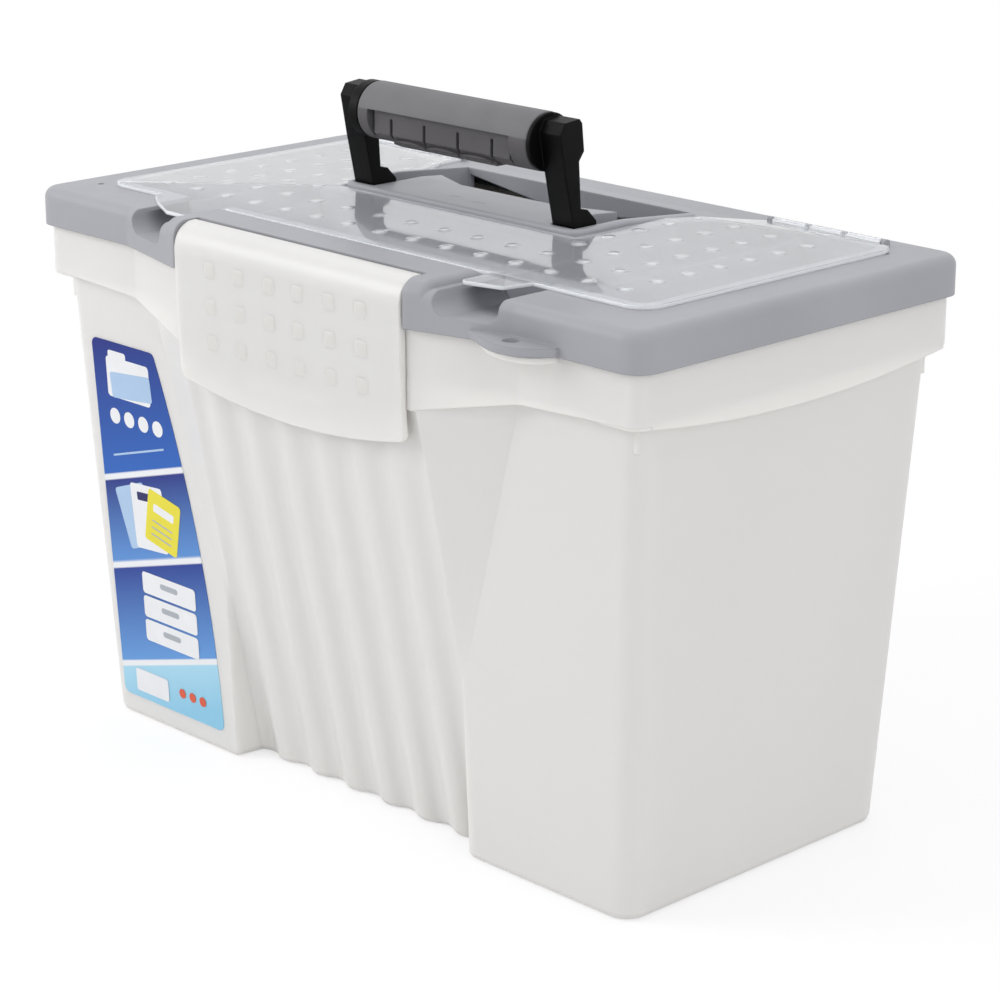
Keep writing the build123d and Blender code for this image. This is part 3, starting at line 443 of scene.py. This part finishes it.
def label_print():
    """Blue panels that darken upwards, with slanted white bands between them."""
    m = Mat("label_paper", srgb(44, 92, 176), 0.34, IOR=1.5)
    m.set("Specular IOR Level", 0.3)
    x, y, z = m.place()
    slant = m.math("MULTIPLY", m.math("SUBTRACT", x, band_foot_x), band_slope)
    height = m.math("DIVIDE", m.math("SUBTRACT", z, slant), label_top)
    white = srgb(240, 242, 246)
    light = (srgb(146, 206, 236), srgb(98, 156, 222), srgb(90, 146, 216), srgb(30, 98, 190))
    deep = (srgb(172, 220, 242), srgb(16, 54, 148), srgb(16, 40, 132), srgb(12, 34, 128))
    feet = (0.0,) + bands
    tops = bands + (label_top,)
    stops = []
    for foot, top, low, high in zip(feet, tops, light, deep):
        start = foot / label_top
        if foot:
            stops.append(((foot - band_half) / label_top, white))
            start = (foot + band_half) / label_top
            stops.append((start - 0.001, white))
        stops.append((start, low))
        end = min((top - band_half) / label_top - 0.001, 1.0)
        stops.append((end, high))
    m.drive("Base Color", m.ramp(height, stops))
    m.drive("Roughness", m.range(m.noise(70, 4), 0.29, 0.40))
    m.bump([(m.noise(60, 2), 0.05, 0.0006)])
    return m.mat


def ink(name, color):
    """Printed colour, nearly even, with a slight satin."""
    m = Mat(name, color, 0.32, IOR=1.5)
    m.set("Specular IOR Level", 0.3)
    m.drive("Base Color", m.ramp(m.noise(90, 3), [(0.3, tint(color, 0.96)), (0.7, color)]))
    m.drive("Roughness", m.range(m.noise(70, 4), 0.28, 0.42))
    return m.mat


corner_steps = 5


def rounded(centre, size, radius, tilt=0.0):
    """Points of a rounded rectangle on the label, turned by tilt degrees."""
    turn = math.radians(tilt)
    points = []
    for quarter, (sx, sz) in enumerate(((1, 1), (-1, 1), (-1, -1), (1, -1))):
        for step in range(corner_steps + 1):
            a = math.radians(90 * (quarter + step / corner_steps))
            u = sx * (size[0] / 2 - radius) + radius * math.cos(a)
            v = sz * (size[1] / 2 - radius) + radius * math.sin(a)
            x = centre[0] + u * math.cos(turn) - v * math.sin(turn)
            z = centre[1] + u * math.sin(turn) + v * math.cos(turn)
            points.append((x, z))
    return points


class LabelArt:
    """Flat shapes laid on the label, one over the other, each in one ink."""

    def __init__(self):
        self.probe = front_of("label")
        self.bm = bmesh.new()
        self.inks = {
            "white": ink("ink_white", srgb(242, 243, 246)),
            "pale": ink("ink_pale_blue", srgb(176, 204, 236)),
            "navy": ink("ink_navy", srgb(26, 30, 96)),
            "yellow": ink("ink_yellow", srgb(238, 226, 62)),
            "grey": ink("ink_grey", srgb(176, 182, 190)),
            "orange": ink("ink_orange", srgb(228, 92, 62)),
        }

    def shape(self, color, place, shift, size, radius, tilt=0.0):
        """Adds a rounded rectangle whose middle is shifted from a motif's place."""
        lift = art_lift + art_layer * (len(self.bm.faces) + 1)
        centre = (place[0] + shift[0], place[1] + shift[1])
        corners = []
        for x, z in rounded(centre, size, radius, tilt):
            corners.append(self.bm.verts.new((x * MM, (self.probe(x, z) - lift) * MM, z * MM)))
        self.bm.faces.new(corners).material_index = list(self.inks).index(color)


def label_folder(art):
    """A folder over a row of dots, and a thin line along the bands."""
    art.shape("white", folder_place, (-8.5, 10.5), (15.0, 8.0), 1.6)
    art.shape("white", folder_place, (0, 0), (36.0, 22.0), 2.2)
    art.shape("pale", folder_place, (2.0, -3.0), (34.0, 14.0), 1.8, 5.0)
    for i in range(4):
        art.shape("white", dot_row_place, (dot_row_pitch * i, 0), (8.6, 8.6), 4.2)
    climb = band_slope * (line_place[0] - band_foot_x)
    lean = math.degrees(math.atan(band_slope))
    art.shape("pale", line_place, (0, climb), (46.0, 1.1), 0.5, lean)


def label_fan(art):
    """Three sheets spread like a fan, the front one with ruled lines."""
    art.shape("pale", fan_place, (-10.5, -1.0), (26.0, 34.0), 2.0, 19.0)
    art.shape("white", fan_place, (0, 0), (27.0, 36.0), 2.0, 4.0)
    art.shape("navy", fan_place, (1.4, 11.5), (21.0, 4.6), 0.8, 4.0)
    art.shape("yellow", fan_place, (11.5, 0), (27.0, 30.0), 2.0, -12.0)
    art.shape("white", fan_place, (12.7, 5.5), (17.0, 4.6), 0.8, -12.0)
    for i in range(3):
        art.shape("grey", fan_place, (11.0 - 0.8 * i, -2.0 - 3.9 * i), (17.0, 0.9), 0.4, -12.0)


def label_drawers(art):
    """A stack of three drawers with grips."""
    for i in range(3):
        art.shape("white", drawer_place, (0, -drawer_pitch * i), (45.0, 12.2), 2.0)
        art.shape("grey", drawer_place, (0, 0.8 - drawer_pitch * i), (15.0, 3.2), 1.5)


def label_foot(art):
    """A bare panel and three dots."""
    art.shape("white", bare_panel_place, (0, 0), (28.0, 13.0), 1.6)
    for i in range(3):
        art.shape("orange", orange_dot_place, (orange_dot_pitch * i, 0), (5.4, 5.4), 2.6)


def label_art():
    """Plain shapes in the label's colours; none of them is text."""
    art = LabelArt()
    label_folder(art)
    label_fan(art)
    label_drawers(art)
    label_foot(art)
    add_piece("label_art", art.bm, list(art.inks.values()), "bin")


nodes["label"].data.materials.clear()
nodes["label"].data.materials.append(label_print())
latch_pads()
label_art()


# ------------------------------------------------------------------ stage and lights
white = (1, 1, 1, 1)
floor_half = 6.0
floor_bounce = srgb(238, 238, 238)
floor_shade = srgb(188, 188, 190)
floor_glow = 0.54
floor_fade = (0.30, 0.85)
ambient_strength = 0.66


def seen_directly(tree):
    """1 for camera rays, mirror reflections and rays through clear parts."""
    path = tree.nodes.new("ShaderNodeLightPath")
    total = path.outputs["Is Camera Ray"]
    for ray in ("Is Glossy Ray", "Is Transmission Ray"):
        larger = tree.nodes.new("ShaderNodeMath")
        larger.operation = "MAXIMUM"
        tree.links.new(total, larger.inputs[0])
        tree.links.new(path.outputs[ray], larger.inputs[1])
        total = larger.outputs[0]
    return total


def floor_material():
    """White floor that keeps the object's shadow and turns plain white further out.

    Diffuse light reaches the object from floor_bounce. What is seen directly is the
    shaded colour plus a glow near the object, fading to pure white.
    """
    mat = bpy.data.materials.new("floor_white")
    mat.use_nodes = True
    tree = mat.node_tree
    tree.nodes.clear()

    def node(kind, **inputs):
        n = tree.nodes.new(kind)
        for key, value in inputs.items():
            n.inputs[key].default_value = value
        return n

    def mixed(fac, a, b):
        n = node("ShaderNodeMixShader")
        tree.links.new(fac, n.inputs[0])
        tree.links.new(a.outputs[0], n.inputs[1])
        tree.links.new(b.outputs[0], n.inputs[2])
        return n

    bounce = node("ShaderNodeBsdfDiffuse", Color=floor_bounce)
    shade = node("ShaderNodeBsdfDiffuse", Color=floor_shade)
    glow = node("ShaderNodeEmission", Color=white, Strength=floor_glow)
    plain = node("ShaderNodeEmission", Color=white, Strength=1.0)
    near = tree.nodes.new("ShaderNodeAddShader")
    tree.links.new(shade.outputs[0], near.inputs[0])
    tree.links.new(glow.outputs[0], near.inputs[1])
    length = tree.nodes.new("ShaderNodeVectorMath")
    length.operation = "LENGTH"
    tree.links.new(node("ShaderNodeTexCoord").outputs["Object"], length.inputs[0])
    fade = tree.nodes.new("ShaderNodeMapRange")
    fade.interpolation_type = "SMOOTHSTEP"
    fade.inputs["From Min"].default_value = floor_fade[0]
    fade.inputs["From Max"].default_value = floor_fade[1]
    tree.links.new(length.outputs["Value"], fade.inputs["Value"])
    shown = mixed(fade.outputs["Result"], near, plain)
    surface = mixed(seen_directly(tree), bounce, shown)
    out = node("ShaderNodeOutputMaterial")
    tree.links.new(surface.outputs[0], out.inputs["Surface"])
    return mat


def lay_floor():
    """A square floor under the box."""
    mesh = bpy.data.meshes.new("floor")
    corners = [(-floor_half, -floor_half), (floor_half, -floor_half)]
    corners += [(floor_half, floor_half), (-floor_half, floor_half)]
    mesh.from_pydata([(x, y, 0) for x, y in corners], [], [(0, 1, 2, 3)])
    mesh.materials.append(floor_material())
    floor = bpy.data.objects.new("floor", mesh)
    bpy.context.collection.objects.link(floor)


def light_room():
    """Even light from all round, behind a backdrop that is seen as plain white."""
    world = bpy.data.worlds.new("studio")
    bpy.context.scene.world = world
    world.use_nodes = True
    tree = world.node_tree
    ambient = tree.nodes["Background"]
    ambient.inputs["Color"].default_value = white
    ambient.inputs["Strength"].default_value = ambient_strength
    backdrop = tree.nodes.new("ShaderNodeBackground")
    backdrop.inputs["Color"].default_value = white
    backdrop.inputs["Strength"].default_value = 1.0
    choice = tree.nodes.new("ShaderNodeMixShader")
    tree.links.new(seen_directly(tree), choice.inputs[0])
    tree.links.new(ambient.outputs[0], choice.inputs[1])
    tree.links.new(backdrop.outputs[0], choice.inputs[2])
    tree.links.new(choice.outputs[0], tree.nodes["World Output"].inputs["Surface"])


def area_light(name, place, target, size, power):
    """Soft rectangular lamp of so many watts, aimed at a point."""
    data = bpy.data.lights.new(name, "AREA")
    data.shape = "RECTANGLE"
    data.size, data.size_y = size
    data.energy = power
    lamp = bpy.data.objects.new(name, data)
    lamp.location = place
    aim = Vector(target) - Vector(place)
    lamp.rotation_euler = aim.to_track_quat("-Z", "Y").to_euler()
    bpy.context.collection.objects.link(lamp)


lay_floor()
light_room()
area_light("key", (-0.85, -1.0, 0.85), (-0.05, 0, 0.18), (0.7, 0.7), 5.6)
area_light("top", (-0.1, 0.35, 1.9), (0, 0, 0.25), (2.6, 2.2), 9.8)
area_light("fill", (1.7, -0.6, 1.0), (0, 0, 0.15), (1.0, 1.0), 4.4)

# --------------------------------------------------------------------------- camera
# Angles about the box, and distances in metres from the point aimed at
azimuth = math.radians(46.084)
elevation = math.radians(17.48)
distance = 1.5639
aim_right = 0.01087
aim_height = 0.14248
focal_pixels = 3055.2
image_pixels = 1000
sensor_width = 36.0

level = math.cos(elevation)
back = Vector((math.sin(azimuth) * level, -math.cos(azimuth) * level, math.sin(elevation)))
right = Vector((math.cos(azimuth), math.sin(azimuth), 0))
camera_data = bpy.data.cameras.new("camera")
camera_data.sensor_width = sensor_width
camera_data.lens = focal_pixels / image_pixels * sensor_width
camera_data.clip_end = 50
camera = bpy.data.objects.new("camera", camera_data)
camera.location = right * aim_right + Vector((0, 0, aim_height)) + back * distance
camera.rotation_euler = back.to_track_quat("Z", "Y").to_euler()
bpy.context.collection.objects.link(camera)
bpy.context.scene.camera = camera

bpy.context.scene.view_settings.view_transform = "Standard"
